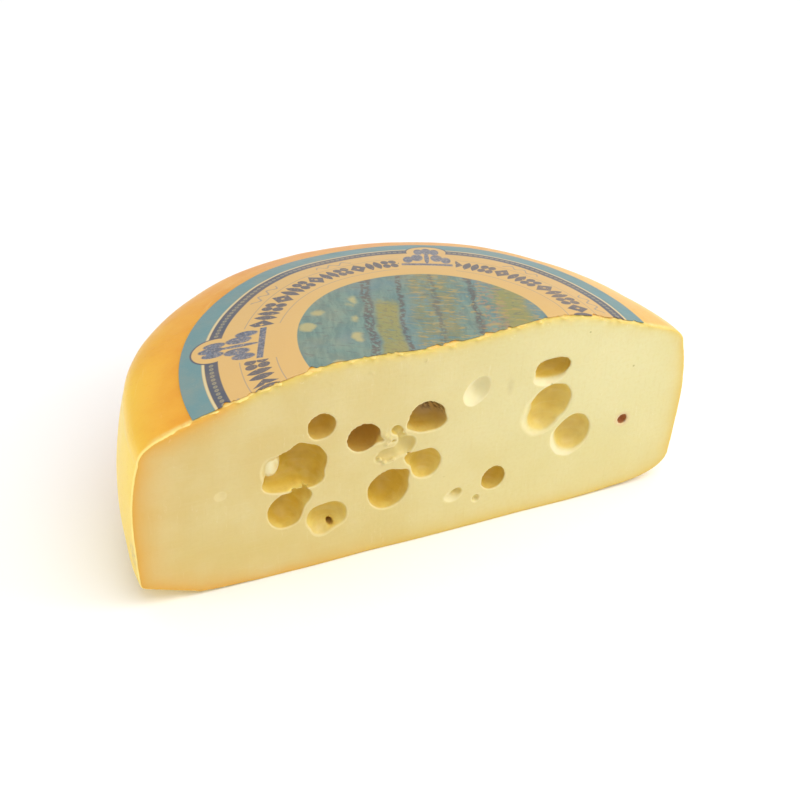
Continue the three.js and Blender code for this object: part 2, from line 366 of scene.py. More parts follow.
def rind_field(points):
    """The whole wheel, with its swellings and dimples. The underside lies flat, so it has hardly any."""
    x, y, z = points.T
    radius = np.hypot(x, y - AXIS_Y)
    back = np.clip((y - AXIS_Y) / WHEEL_RADIUS, 0, 1)
    sunk = BACK_DROP * back**BACK_DROP_BEND
    outer = np.clip((radius - RIM_DROP_START) / RIM_DROP_REACH, 0, 1)
    sunk += outer * np.minimum(back * RIM_DROP_GROWTH, 1) * (RIM_DROP + RIM_DROP_LEAN * x / WHEEL_RADIUS)
    for middle, width, height in TOP_WAVES:
        sunk -= height * np.exp(-(((x - middle) / width) ** 2) - ((y - CUT_Y) / TOP_WAVE_REACH) ** 2)
    plain = section(radius, z + sunk * np.clip(z / WHEEL_HEIGHT, 0, 1))
    along = np.subtract(CORNER_TO, CORNER_FROM) / math.dist(CORNER_TO, CORNER_FROM)
    corner = (radius - CORNER_FROM[0]) * along[1] - (z - CORNER_FROM[1]) * along[0]
    to_the_right = (x - CORNER_SIDE) / CORNER_FADE
    to_the_back = (y - CUT_Y - CORNER_DEPTH) / CORNER_DEPTH_FADE
    corner -= CORNER_CLEAR * np.clip(np.maximum(to_the_right, to_the_back), 0, 1)
    plain = np.where(z < CORNER_TOP, smooth_max(plain, corner, CORNER_ROUNDING), plain)
    free = np.clip(z / RIND_LEVEL_TO, 0, 1)
    swell = SWELL_HEIGHT * smooth_noise(points, SWELL_SIZE, 1)
    dimple = DIMPLE_HEIGHT * smooth_noise(points, DIMPLE_SIZE, 2)
    return plain + free * (swell + dimple + RIND_HOLD_BACK)


def cut_field(points):
    """The side of the cut that was taken away."""
    flat = points * (1, 0, 1)
    wave = CUT_WAVE_HEIGHT * smooth_noise(flat, CUT_WAVE_SIZE, 3)
    return CUT_Y + wave - points[:, 1]


def ball_field(points, ball):
    """About the distance to a ball that is stretched and turned to have the mouth it is given."""
    deep = ball.depth - ball.inset
    swell = 1 / math.sqrt(1 - ((ball.inset - ball.floor) / deep) ** 2)
    radii = np.array([ball.width / 2 * swell, deep, ball.height / 2 * swell])
    centre = (ball.across, CUT_Y + ball.inset, WHEEL_HEIGHT / 2 + ball.up)
    x, y, z = (points - centre).T
    turn = math.radians(ball.tilt)
    own = np.stack([x * math.cos(turn) + z * math.sin(turn), y, z * math.cos(turn) - x * math.sin(turn)], 1)
    size = np.linalg.norm(own / radii, axis=1)
    slope = np.linalg.norm(own / radii**2, axis=1)
    return size * (size - 1) / np.maximum(slope, 1e-6)


def eye_field(points, eye, seed):
    """One eye: its balls run together, and its wall is a little uneven."""
    field = ball_field(points, eye.balls[0])
    for ball in eye.balls[1:]:
        field = smooth_min(field, ball_field(points, ball), LOBE_BLEND)
    for stub in eye.stubs:
        field = smooth_max(field, -ball_field(points, stub), STUB_EDGE)
    return field + eye.rough * smooth_noise(points, EYE_UNEVEN_SIZE, 10 + seed)


def crumb_field(points):
    """The crumbs, all together."""
    field = np.full(len(points), NO_CRUMB)
    for across, up, radius in CRUMBS:
        centre = (across, CUT_Y + CRUMB_SUNK * radius, WHEEL_HEIGHT / 2 + up)
        away = np.linalg.norm(points - centre, axis=1)
        field = np.minimum(field, away - radius)
    return field + CRUMB_UNEVEN_HEIGHT * smooth_noise(points, CRUMB_UNEVEN_SIZE, 8)


def near_eye(points, eye):
    """The points close enough to an eye to be changed by it."""
    near = np.zeros(len(points), bool)
    for ball in eye.balls:
        reach = max(ball.width, ball.height) * EYE_REACH_SHARE + EYE_REACH
        x, y, z = np.abs(points - (ball.across, CUT_Y, WHEEL_HEIGHT / 2 + ball.up)).T
        near |= (x < reach) & (z < reach) & (y < ball.depth + EYE_REACH)
    return near


def cheese_field(points):
    """The half wheel with its opened eyes."""
    rind = rind_field(points)
    cut = cut_field(points)
    field = smooth_max(rind, cut, KNIFE_EDGE)
    high = np.clip((points[:, 2] - EDGE_CHIP_FROM) / EDGE_CHIP_GROWTH, 0, 1)
    at_edge = np.exp(-(rind**2 + cut**2) / EDGE_CHIP_REACH**2) * high
    field += at_edge * EDGE_CHIP_HEIGHT * (smooth_noise(points, EDGE_CHIP_SIZE, 7) + EDGE_CHIP_LEAN)
    for seed, eye in enumerate(EYES):
        near = near_eye(points, eye)
        field[near] = smooth_max(field[near], -eye_field(points[near], eye, seed), eye.rim)
    near = np.abs(points[:, 1] - CUT_Y) < CRUMB_REACH
    field[near] = smooth_min(field[near], crumb_field(points[near]), CRUMB_BLEND)
    return field


def slope_of(field, points, step=0.05):
    """The field's gradient at points."""
    return np.stack(
        [(field(points + step * axis) - field(points - step * axis)) / (2 * step) for axis in np.eye(3)], 1
    )


# ------------------------------------------------------------
# Meshes
# ------------------------------------------------------------


def grid_lines():
    """The grid's lines along X, Y and Z: fine at the cut face, wider and wider towards the back."""
    x = np.arange(LOW[0] - GRID_MARGIN, HIGH[0] + GRID_MARGIN + FINE_STEP, FINE_STEP)
    z = np.arange(LOW[2] - GRID_MARGIN, HIGH[2] + GRID_MARGIN + FINE_STEP, FINE_STEP)
    y = [CUT_Y - GRID_MARGIN]
    step = FINE_STEP
    while y[-1] < HIGH[1] + GRID_MARGIN:
        if y[-1] > CUT_Y + FINE_DEPTH:
            step = min(step * STEP_GROWTH, max(COARSE_STEP, FINE_STEP))
        y.append(y[-1] + step)
    return x, np.array(y), z


def surface_net(field, lines):
    """The field's zero surface as a closed mesh of quads: one vertex in each grid cell that it crosses, at
    the middle of its crossings, and one quad round each grid edge that it crosses."""
    shape = tuple(len(line) for line in lines)
    cells = tuple(n - 1 for n in shape)
    grid = np.stack(np.meshgrid(*lines, indexing="ij"), -1).reshape(-1, 3)
    values = field(grid).reshape(shape)
    inside = values < 0
    total = np.zeros((np.prod(cells), 3))
    count = np.zeros(np.prod(cells))
    quads = []
    for axis in range(3):
        ahead = [slice(None)] * 3
        behind = [slice(None)] * 3
        ahead[axis] = slice(1, None)
        behind[axis] = slice(None, -1)
        crossed = np.argwhere(inside[tuple(ahead)] != inside[tuple(behind)])
        after = crossed.copy()
        after[:, axis] += 1
        v0 = values[tuple(crossed.T)]
        v1 = values[tuple(after.T)]
        at = np.stack([line[crossed[:, n]] for n, line in enumerate(lines)], 1)
        at[:, axis] += (lines[axis][after[:, axis]] - at[:, axis]) * v0 / (v0 - v1)
        second, third = (axis + 1) % 3, (axis + 2) % 3
        ring = []
        for back in ((1, 1), (0, 1), (0, 0), (1, 0)):
            cell = crossed.copy()
            cell[:, second] -= back[0]
            cell[:, third] -= back[1]
            ring.append(np.ravel_multi_index(tuple(cell.T), cells))
        for cell in ring:
            np.add.at(total, cell, at)
            np.add.at(count, cell, 1)
        ring = np.stack(ring, 1)
        quads.append(np.where((v0 < 0)[:, None], ring, ring[:, ::-1]))
    used = np.flatnonzero(count)
    number = np.full(len(count), -1)
    number[used] = np.arange(len(used))
    return total[used] / count[used, None], number[np.vstack(quads)]


def settle(points, field):
    """Moves points onto the field's zero surface."""
    for _ in range(SETTLE_ROUNDS):
        slope = slope_of(field, points)
        steep = np.maximum((slope**2).sum(1), LEAST_STEEP)
        points = points - np.clip(field(points) / steep, -SETTLE_REACH, SETTLE_REACH)[:, None] * slope
    return points


def make_object(name, points, faces):
    """A smooth-shaded object from points in millimetres."""
    mesh = bpy.data.meshes.new(name)
    mesh.from_pydata((points * MM).tolist(), [], faces.tolist())
    mesh.polygons.foreach_set("use_smooth", np.ones(len(mesh.polygons), bool))
    mesh.update()
    piece = bpy.data.objects.new(name, mesh)
    bpy.context.scene.collection.objects.link(piece)
    return piece


def mesh_points(piece):
    """The points of an object's mesh, in millimetres."""
    found = np.empty(len(piece.data.vertices) * 3)
    piece.data.vertices.foreach_get("co", found)
    return found.reshape(-1, 3) / MM


def thin_out(piece, movable, kept):
    """Merges small faces where movable is true, down to that share of their number."""
    group = piece.vertex_groups.new(name="back")
    group.add(np.flatnonzero(movable).tolist(), 1.0, "REPLACE")
    share = movable.mean()
    thinner = piece.modifiers.new("thinner", "DECIMATE")
    thinner.ratio = (1 - share) + share * kept
    thinner.vertex_group = group.name
    thinner.vertex_group_factor = 1000  # so strong that nothing else is thinned
    thinner.use_collapse_triangulate = True
    shape = bpy.data.meshes.new_from_object(piece.evaluated_get(bpy.context.evaluated_depsgraph_get()))
    piece.modifiers.remove(thinner)
    piece.vertex_groups.clear()
    piece.data = shape


def store(piece, name, values):
    """Keeps one number for each vertex, for the material to read."""
    piece.data.attributes.new(name, "FLOAT", "POINT").data.foreach_set("value", values.astype(np.float32))


def eye_marks(points):
    """How far points are from the nearest eye's wall, and the tone that it has there."""
    eyes = np.full(len(points), NO_EYE)
    tone = np.zeros(len(points))
    for seed, eye in enumerate(EYES):
        near = np.flatnonzero(near_eye(points, eye))
        field = eye_field(points[near], eye, seed)
        balls = np.stack([ball_field(points[near], ball) for ball in eye.balls], 1)
        weight = np.exp(-(balls - balls.min(1)[:, None]) / TONE_BLEND)
        blended = weight @ np.array([ball.tone for ball in eye.balls]) / weight.sum(1)
        for stub in eye.stubs:
            share = np.clip(1 - np.abs(ball_field(points[near], stub)) / TONE_BLEND, 0, 1)
            blended = blended * (1 - share) + stub.tone * share
        closer = field < eyes[near]
        tone[near[closer]] = blended[closer]
        eyes[near] = np.minimum(eyes[near], field)
    return eyes, tone


def make_cheese():
    points, quads = surface_net(cheese_field, grid_lines())
    piece = make_object("cheese_half", settle(points, cheese_field), quads)
    movable = mesh_points(piece)[:, 1] > CUT_Y + FINE_DEPTH
    thin_out(piece, movable, BACK_KEPT)
    points = mesh_points(piece)
    eyes, tone = eye_marks(points)
    store(piece, "skin_depth", -rind_field(points))
    store(piece, "eye_distance", eyes)
    store(piece, "eye_tone", tone)
    return piece


# The label's sheet
LABEL_LIFT = 0.12  # its underside above the rind
LABEL_THICKNESS = 0.35
LABEL_STEP = 1.6
LABEL_CUT_BACK = 2.3  # its cut edge behind the cut face
LABEL_RAGGED = 3.0  # how far its torn places reach in from there
LABEL_TEAR_SIZE = 7
LABEL_FINE_TEARS = 0.6  # the strength of the tears of a third of that size
LABEL_NARROWEST = 0.5  # its depth at its two ends
LABEL_STEP_ALONG = 0.8
RIND_SEARCH_HEIGHT = 2.0  # above the wheel's top, where the search for its skin begins
RIND_SEARCH_ROUNDS = 12


def on_the_rind(x, y, lift):
    """Points above the wheel's top at a height over its skin."""
    z = np.full(len(x), WHEEL_HEIGHT + RIND_SEARCH_HEIGHT)
    for _ in range(RIND_SEARCH_ROUNDS):
        z = z - (rind_field(np.stack([x, y, z], 1)) - lift)
    return np.stack([x, y, z], 1)


def make_label():
    """A thin closed sheet that lies on the top of the wheel, round at its edge and cut with the cheese."""
    columns = int(math.pi * LABEL_RADIUS / LABEL_STEP_ALONG)
    rows = int(LABEL_RADIUS / LABEL_STEP)
    front = CUT_Y + LABEL_CUT_BACK
    widest = math.acos((AXIS_Y - front) / LABEL_RADIUS)
    turn = np.linspace(-widest, widest, columns + 1)
    x = LABEL_SHIFT + LABEL_RADIUS * np.sin(turn)
    reach = np.maximum(AXIS_Y + LABEL_RADIUS * np.cos(turn), front + LABEL_NARROWEST)
    share = np.linspace(0, 1, rows + 1)
    gx = np.repeat(x[:, None], rows + 1, 1)
    along = np.stack([x, x * 0, x * 0 + 5], 1)  # a line through the noise
    tear = smooth_noise(along, LABEL_TEAR_SIZE, 5)
    tear += LABEL_FINE_TEARS * smooth_noise(along, LABEL_TEAR_SIZE / 3, 6)
    start = front + LABEL_RAGGED * np.clip(tear, 0, 1)
    start = np.minimum(start, (front + reach) / 2)
    gy = start[:, None] + (reach - start)[:, None] * share
    over = on_the_rind(gx.ravel(), gy.ravel(), LABEL_LIFT + LABEL_THICKNESS)
    under = on_the_rind(gx.ravel(), gy.ravel(), LABEL_LIFT)
    number = np.arange(len(over)).reshape(gx.shape)
    a, b, c, d = number[:-1, :-1], number[1:, :-1], number[1:, 1:], number[:-1, 1:]
    top = np.stack([a, b, c, d], -1).reshape(-1, 4)
    edge = np.concatenate([number[:, 0], number[-1, 1:], number[-2::-1, -1], number[0, -2:0:-1]])
    after = np.roll(edge, -1)
    wall = np.stack([edge, edge + len(over), after + len(over), after], 1)
    faces = np.vstack([top, top[:, ::-1] + len(over), wall])
    return make_object("label_sheet", np.vstack([over, under]), faces)


# ------------------------------------------------------------
# Materials
# ------------------------------------------------------------


def linear(code):
    """A colour code such as "e6d192" as the linear colour that shaders take."""
    parts = [int(code[n : n + 2], 16) / 255 for n in (0, 2, 4)]
    return [part / 12.92 if part <= 0.04045 else ((part + 0.055) / 1.055) ** 2.4 for part in parts] + [1]


class Wire:
    """A node's output, with sums written as sums."""

    def __init__(self, maker, socket):
        self.maker = maker
        self.socket = socket

    def __add__(self, other):
        return self.maker.math("ADD", self, other)

    def __sub__(self, other):
        return self.maker.math("SUBTRACT", self, other)

    def __rsub__(self, other):
        return self.maker.math("SUBTRACT", other, self)

    def __mul__(self, other):
        return self.maker.math("MULTIPLY", self, other)

    def __truediv__(self, other):
        return self.maker.math("DIVIDE", self, other)

    def __neg__(self):
        return self.maker.math("MULTIPLY", self, -1)


class Maker:
    """Builds a material's nodes."""

    def __init__(self, name):
        self.material = bpy.data.materials.new(name)
        self.material.use_nodes = True
        self.nodes = self.material.node_tree.nodes
        self.links = self.material.node_tree.links
        self.shader = self.nodes["Principled BSDF"]

    def feed(self, socket, value):
        """Links a wire to a socket, or sets the socket to a number or colour."""
        if isinstance(value, Wire):
            self.links.new(value.socket, socket)
        else:
            socket.default_value = value

    def node(self, kind, settings=None, **inputs):
        made = self.nodes.new("ShaderNode" + kind)
        for name, value in (settings or {}).items():
            setattr(made, name, value)
        for name, value in inputs.items():
            self.feed(made.inputs[name.replace("_", " ")], value)
        return made

    def math(self, operation, *values):
        made = self.node("Math", {"operation": operation})
        for socket, value in zip(made.inputs, values):
            self.feed(socket, value)
        return Wire(self, made.outputs[0])

    def place(self):
        """The place on the object in millimetres, as three wires and as one."""
        where = self.node("TexCoord").outputs["Object"]
        grown = self.nodes.new("ShaderNodeVectorMath")
        grown.operation = "SCALE"
        self.links.new(where, grown.inputs[0])
        grown.inputs["Scale"].default_value = 1 / MM
        split = self.nodes.new("ShaderNodeSeparateXYZ")
        self.links.new(grown.outputs[0], split.inputs[0])
        return [Wire(self, socket) for socket in split.outputs], Wire(self, grown.outputs[0])

    def together(self, x, y, z):
        made = self.node("CombineXYZ")
        for socket, value in zip(made.inputs, (x, y, z)):
            self.feed(socket, value)
        return Wire(self, made.outputs[0])

    def kept(self, name):
        """A number stored for each vertex."""
        made = self.node("Attribute", {"attribute_name": name})
        return Wire(self, made.outputs["Fac"])

    def noise(self, place, size, detail=2.0, roughness=0.5, distortion=0.0):
        """Noise from 0 to 1 whose marks are about that many millimetres across."""
        made = self.node("TexNoise", Scale=1 / size, Detail=detail, Roughness=roughness)
        made.inputs["Distortion"].default_value = distortion
        self.feed(made.inputs["Vector"], place)
        return Wire(self, made.outputs["Fac"])

    def spots(self, place, size):
        """The distance to the nearest of points about that many millimetres apart, in spacings."""
        made = self.node("TexVoronoi", {"feature": "F1"}, Scale=1 / size)
        self.feed(made.inputs["Vector"], place)
        return Wire(self, made.outputs["Distance"])

    def step(self, value, low, high):
        """0 below low and 1 above high, smooth between. With low above high it falls instead."""
        made = self.node("MapRange", {"interpolation_type": "SMOOTHSTEP"})
        for name, given in (("Value", value), ("From Min", low), ("From Max", high)):
            self.feed(made.inputs[name], given)
        return Wire(self, made.outputs["Result"])

    def from_point(self, first, second, first_share=1.0, second_share=1.0):
        """The distance of two coordinates from nought, with each one's square weighed."""
        return self.math("SQRT", first * first * first_share + second * second * second_share)

    def band(self, value, low, high, soft=0.35):
        """1 between low and high, 0 outside."""
        return self.step(value, low - soft, low + soft) * self.step(value, high + soft, high - soft)

    def mix(self, share, first, second):
        """A colour between two."""
        made = self.node("Mix", {"data_type": "RGBA", "clamp_factor": True})
        self.feed(made.inputs[0], share)
        self.feed(made.inputs[6], first)
        self.feed(made.inputs[7], second)
        return Wire(self, made.outputs[2])

    def either(self, *masks):
        """The strongest of several masks."""
        found = masks[0]
        for mask in masks[1:]:
            found = self.math("MAXIMUM", found, mask)
        return found

    def bump(self, height, distance):
        """A normal for a height of 0 to 1 that stands for that many millimetres."""
        made = self.node("Bump", Distance=distance * MM, Height=height)
        return Wire(self, made.outputs[0])

    def set(self, **inputs):
        """Feeds the surface shader's inputs."""
        for name, value in inputs.items():
            self.feed(self.shader.inputs[name.replace("_", " ")], value)


# Places that the cheese's colours are tied to
BRUISE_AT = (52.0, 98.7)  # across the cut face and above the base
STAIN_AT = (6.5, 93.0)
SMUDGE_AT = (-84.0, 38.0)  # on the left of the rind, along Y and above the base

# What the parts of the cheese's material share: the place in millimetres, the depth behind the cut face and
# below the rind's skin, the distance outside the nearest eye's wall, that eye's tone, and 1 near the top
Spot = namedtuple("Spot", "x y z place behind skin rim tone top")


def paste_colour(m, at, grain, drag):
    """Pale, mottled, painted darker and yellower to the left as painted shade, deeper in colour below, with
    faint streaks left by the knife.
    """
    cloud = m.noise(at.place, 38, 3)
    # painted shade: the paste is painted darker towards the left of the cut face
    paste = m.mix(m.step(at.x, -150.0, 130.0), linear("d6bd79"), linear("dcd29a"))
    paste = m.mix(m.step(at.z, 90.0, 10.0) * 0.35, paste, linear("d8c172"))
    paste = m.mix(m.step(cloud, 0.35, 0.7) * 0.3, paste, linear("e4d9a6"))
    paste = m.mix(m.step(grain, 0.4, 0.8) * 0.15, paste, linear("cfb66c"))
    paste = m.mix(m.step(drag, 0.52, 0.72) * 0.05, paste, linear("f0e5ba"))
    upright = m.noise(m.together(at.x * 0.8, at.behind * 0.2, at.z * 0.03), 1.0, 2)
    paste = m.mix(m.step(upright, 0.56, 0.75) * 0.12, paste, linear("ccb674"))
    scratch = m.noise(m.together(at.x * 0.35, at.behind * 0.2, at.z * 0.04 + 9.0), 1.0, 2)
    paste = m.mix(m.band(scratch, 0.66, 0.67, 0.005) * 0.15, paste, linear("f6eecb"))
    crumb = m.step(m.noise(at.place, 3.2, 2), 0.66, 0.74)
    return m.mix(crumb * m.step(at.skin, 9.0, 1.0) * at.top * 0.6, paste, linear("f8efc6"))


def towards_the_rind(m, at, paste):
    """The paste darkens to orange there, over more of it at the left and less at the top."""
    edge = m.noise(at.place, 15, 2)
    reach = edge * 5.0 + 2.2 + m.step(at.x, -100.0, -170.0) * 5.5
    reach = reach - at.top * m.step(at.x, -140.0, -90.0) * 2.2
    near_rind = m.math("POWER", math.e, -(at.skin / reach))
    orange = m.mix(m.step(at.x, -120.0, 20.0), linear("e0a22c"), linear("d9b444"))
    orange = m.mix(at.top * m.step(at.x, -125.0, -100.0), orange, linear("d9bb4c"))
    return m.mix(near_rind * 0.9, paste, orange)


def small_marks(m, at, paste):
    """Sparse dark specks, a grey bruise, and a blush round the small red eye."""
    speck = m.step(m.spots(at.place, 26.0), 0.034, 0.02) * m.step(at.skin, 6.0, 9.0)
    paste = m.mix(speck * 0.5, paste, linear("8c8340"))
    bruise = m.from_point(at.x - BRUISE_AT[0], at.z - BRUISE_AT[1], 1.6, 0.3)
    paste = m.mix(m.step(bruise, 4.5, 0.5) * 0.28, paste, linear("b9a878"))
    blush = m.step(at.rim, 3.5, 0.0) * m.step(at.tone, 2.2, 2.8)
    return m.mix(blush * 0.4, paste, linear("d8a98a"))


def eye_colours(m, at, paste, inside, wall, terrace):
    """A painted highlight along the lip, then golden, with painted shade that deepens it further in. Some
    eyes are brown or reddish; whitish walls are painted highlight.
    """
    # painted highlight: a pale band along each eye's rounded lip
    edge_highlight = m.band(at.rim, -0.2, 0.9, 0.3) * m.step(at.behind, 1.6, 0.6) * m.step(at.tone, -0.8, 0.2)
    paste = m.mix(edge_highlight * 0.22, paste, linear("f6e8b4"))
    # painted shade: the gold darkens and deepens the further it lies behind the cut face
    gold_with_depth_shade = m.mix(m.step(at.behind, 1.0, 10.0), linear("e4cc70"), linear("ddbb4c"))
    gold_with_depth_shade = m.mix(m.step(wall, 0.4, 0.65) * 0.3, gold_with_depth_shade, linear("cca640"))
    gold_with_depth_shade = m.mix(m.step(terrace, 0.48, 0.66) * 0.18, gold_with_depth_shade, linear("e6d382"))
    brown = m.mix(m.step(at.tone, 2.0, 3.0), linear("d2a356"), linear("ca8c5e"))
    eye = m.mix(m.step(at.tone, 1.0, 2.0), gold_with_depth_shade, brown)
    paste = m.mix(inside * m.step(at.tone, -0.1, 1.0), paste, eye)
    # painted highlight: balls with a tone below 0 are painted whitish, for their lit walls
    return m.mix(m.step(at.tone, 0.0, -0.6) * m.step(at.rim, 0.6, 0.1), paste, linear("eadfb0"))


def eye_stains(m, at, paste):
    """Brown stains in the upper right of one eye: a wash with dark streaks in its middle."""
    right, up = at.x - STAIN_AT[0], at.z - STAIN_AT[1]
    stain_at = m.from_point(right, up, 0.8, 1.1)
    stained = m.step(stain_at, 15.0, 8.0) * m.step(at.behind, 1.0, 4.0) * m.step(at.rim, 0.6, 0.1)
    paste = m.mix(stained * 0.75, paste, linear("c8a976"))
    leaning = m.together(at.x * 0.4 + at.z * 0.4, at.behind * 0.2, at.z * 0.2 - at.x * 0.2)
    streaks = m.step(m.noise(leaning, 1.0, 3, 0.6), 0.36, 0.6) * m.step(stain_at, 10.5, 6.0) * stained
    return m.mix(streaks * 0.8, paste, linear("5f441e"))


def rind_colour(m, at, fleck):
    """Orange, glazed and mottled, painted bright yellow on the front of the side below the shoulder and
    along the knife edge at the left as painted highlight, paler to the right as painted reflection, and pale
    where the knife has bared its edge.
    """
    blotch = m.noise(at.place, 34, 4, 0.6)
    rind = m.mix(m.step(blotch, 0.3, 0.7), linear("df9018"), linear("e6a22a"))
    # painted highlight: the front of the side, below the shoulder, is painted bright yellow
    side_highlight = m.step(at.y, 70.0, -45.0) * m.step(at.z, 126.0, 96.0)
    rind = m.mix(side_highlight * 0.95, rind, linear("f5d550"))
    # painted reflection: the rind is washed paler towards the right
    rind = m.mix(m.step(at.x, 110.0, 150.0) * 0.55, rind, linear("e8c67a"))
    rind = m.mix(m.step(fleck, 0.55, 0.8) * 0.3, rind, linear("dc9220"))
    scuff = m.noise(m.together(at.x * 0.02, at.y * 0.02, at.z * 0.4), 1.0, 4, 0.6, 0.8)
    rind = m.mix(m.step(scuff, 0.6, 0.75) * 0.35, rind, linear("f8dc92"))
    bared = m.step(at.behind, 5.5, 2.0) * m.step(at.z, 110.0, 117.0)
    rind = m.mix(bared * (m.step(fleck, 0.3, 0.55) * 0.45 + 0.5), rind, linear("ebd17c"))
    # painted highlight: a bright yellow band along the rounded knife edge at the left
    edge_highlight = m.step(at.behind, 2.6, 0.8) * m.step(at.x, -60.0, -120.0)
    rind = m.mix(edge_highlight * 0.8, rind, linear("fbe58c"))
    smudge = m.from_point(at.y - SMUDGE_AT[0], at.z - SMUDGE_AT[1], 0.4, 0.15)
    smudge = m.step(smudge, 5.0, 1.5) * m.step(at.x, 0.0, -100.0) * m.step(fleck, 0.3, 0.6)
    return m.mix(smudge * 0.4, rind, linear("a9a48e"))


def cheese_material():
    m = Maker("cheese_surface")
    (x, y, z), place = m.place()
    stored = [m.kept(name) for name in ("skin_depth", "eye_distance", "eye_tone")]
    at = Spot(x, y, z, place, y - float(CUT_Y), *stored, m.step(z, 95.0, 122.0))

    # The rind is the outermost half millimetre or so, thinner under the label
    thickness = m.noise(place, 9, 3) * 0.7 + 0.15 - at.top * 0.2
    is_rind = m.step(at.skin - thickness, 0.15, -0.1)
    inside = m.step(at.rim, 0.6, 0.1) * m.step(at.behind, 0.3, 2.0)

    # Marks that show in both colour and relief
    grain = m.noise(place, 2.2, 3)
    drag = m.noise(m.together(x * 0.045 + z * 0.012, at.behind * 0.2, z * 0.9 + x * 0.03), 1.0, 3)
    wall = m.noise(place, 5.0, 3, 0.6)
    terrace = m.noise(m.together(x * 0.05, at.behind * 0.12, z * 0.35), 1.0, 2, 0.5, 0.4)
    fleck = m.noise(place, 3.0, 3, 0.6)

    paste = paste_colour(m, at, grain, drag)
    paste = towards_the_rind(m, at, paste)
    paste = small_marks(m, at, paste)
    paste = eye_colours(m, at, paste, inside, wall, terrace)
    paste = eye_stains(m, at, paste)
    colour = m.mix(is_rind, paste, rind_colour(m, at, fleck))

    # Relief: knife drag and grain on the paste, dimples on the rind
    fine = m.noise(place, 0.9, 3)
    pores = m.step(m.spots(place, 7.0), 0.1, 0.0)
    in_eye = wall * 0.9 + terrace * 0.3
    relief = grain * 0.4 + drag * 0.5 + fine * 0.12 - pores * 0.25
    relief = relief + inside * (in_eye - relief)
    skin_relief = fleck * 0.45 + fine * 0.2
    height = relief * (1 - is_rind) + skin_relief * is_rind
    rough = 0.5 - is_rind * 0.2 - inside * 0.16 + grain * 0.08

    m.set(Base_Color=colour, Roughness=rough, Normal=m.bump(height, 0.28))
    m.set(Subsurface_Weight=0.25, Subsurface_Scale=0.003, Specular_IOR_Level=0.32)
    m.shader.inputs["Subsurface Radius"].default_value = (1.0, 0.7, 0.3)
    return m.material


# The label's print, in millimetres from its middle, with LABEL_INSET still on it
TEAL_FROM = 127.0
PALE_RING = (125.6, 126.8)
BEADED_RING = (118.0, 125.4)
BEADS_AT = 121.8
MEDALLION_AT = 121.0
MEDALLION_RADIUS = 12.0
MEDALLION_TURN = 21.0  # degrees: one is 45 degrees on from here, and the rest a quarter turn apart
ORNAMENTS_AT = 97.5
ORNAMENT_SPACING = 5.9  # degrees
THIN_LINES = (86.8, 106.5)
SCROLL_AT = 112.3
PICTURE_RADIUS = 72.0
PICTURE_MIDDLE = (1.2, 4.6)  # from the wheel's axis

DEGREE = math.pi / 180
CREAM = linear("d8b06c")
NAVY = linear("414d60")
SLATE = linear("6b7688")
TEAL = linear("5f8b90")

# What the parts of the print share: the place from the wheel's axis, the distance and the angle in degrees
# round the label's middle, and, by the nearest medallion, the angle from it in radians, the distances across
# it (with and without a sign) and the distance out from the middle
Spread = namedtuple("Spread", "x y place radius angle turn across side out")


def rings(m, at):
    """Cream, with a teal outer ring, a pale line and a dark ring of beads."""
    colour = m.mix(m.step(at.radius, TEAL_FROM - 0.4, TEAL_FROM + 0.4), CREAM, TEAL)
    colour = m.mix(m.band(at.radius, *PALE_RING), colour, linear("d6c698"))
    along = m.math("PINGPONG", at.angle, 0.8) * DEGREE * at.radius
    bead = m.from_point(along, at.radius - BEADS_AT)
    colour = m.mix(m.band(at.radius, *BEADED_RING), colour, NAVY)
    return m.mix(m.band(bead, 0.3, 1.25, 0.3) * 0.55, colour, linear("b0a680"))


def medallions(m, at, colour):
    """Four round shields, each with a flower on a stem with leaves."""

    def ellipse(across_at, out_at, width, height, soft=0.12):
        u = (at.side - across_at) / width
        v = (at.out - out_at) / height
        return m.step(m.from_point(u, v), 1 + soft, 1 - soft)

    lobe = m.from_point(at.across, at.out - MEDALLION_AT)
    foot = m.band(at.side, -1.0, 11.0) * m.band(at.out, 108.0, MEDALLION_AT)
    shield = m.either(m.step(lobe, MEDALLION_RADIUS + 0.6, MEDALLION_RADIUS), foot)
    outline = m.band(lobe, MEDALLION_RADIUS, MEDALLION_RADIUS + 1.3) * m.step(at.out, 117.0, 118.0)
    colour = m.mix(outline, colour, NAVY)
    colour = m.mix(shield, colour, CREAM)
    flower = m.either(
        ellipse(0.0, 122.5, 3.1, 7.0),
        ellipse(4.9, 121.0, 2.9, 6.2),
        ellipse(0.0, 107.0, 1.5, 11.0),
        ellipse(6.0, 107.5, 3.6, 7.2),
        ellipse(11.6, 103.5, 3.0, 6.4),
        m.band(at.side, -1.0, 15.5) * m.band(at.out, 92.4, 96.0),
    )
    inked = m.noise(at.place, 1.6, 3, 0.7)
    colour = m.mix(flower, colour, SLATE)
    colour = m.mix(flower * m.step(inked, 0.45, 0.6) * 0.8, colour, NAVY)
    return m.mix(flower * m.step(inked, 0.42, 0.34) * 0.6, colour, CREAM)


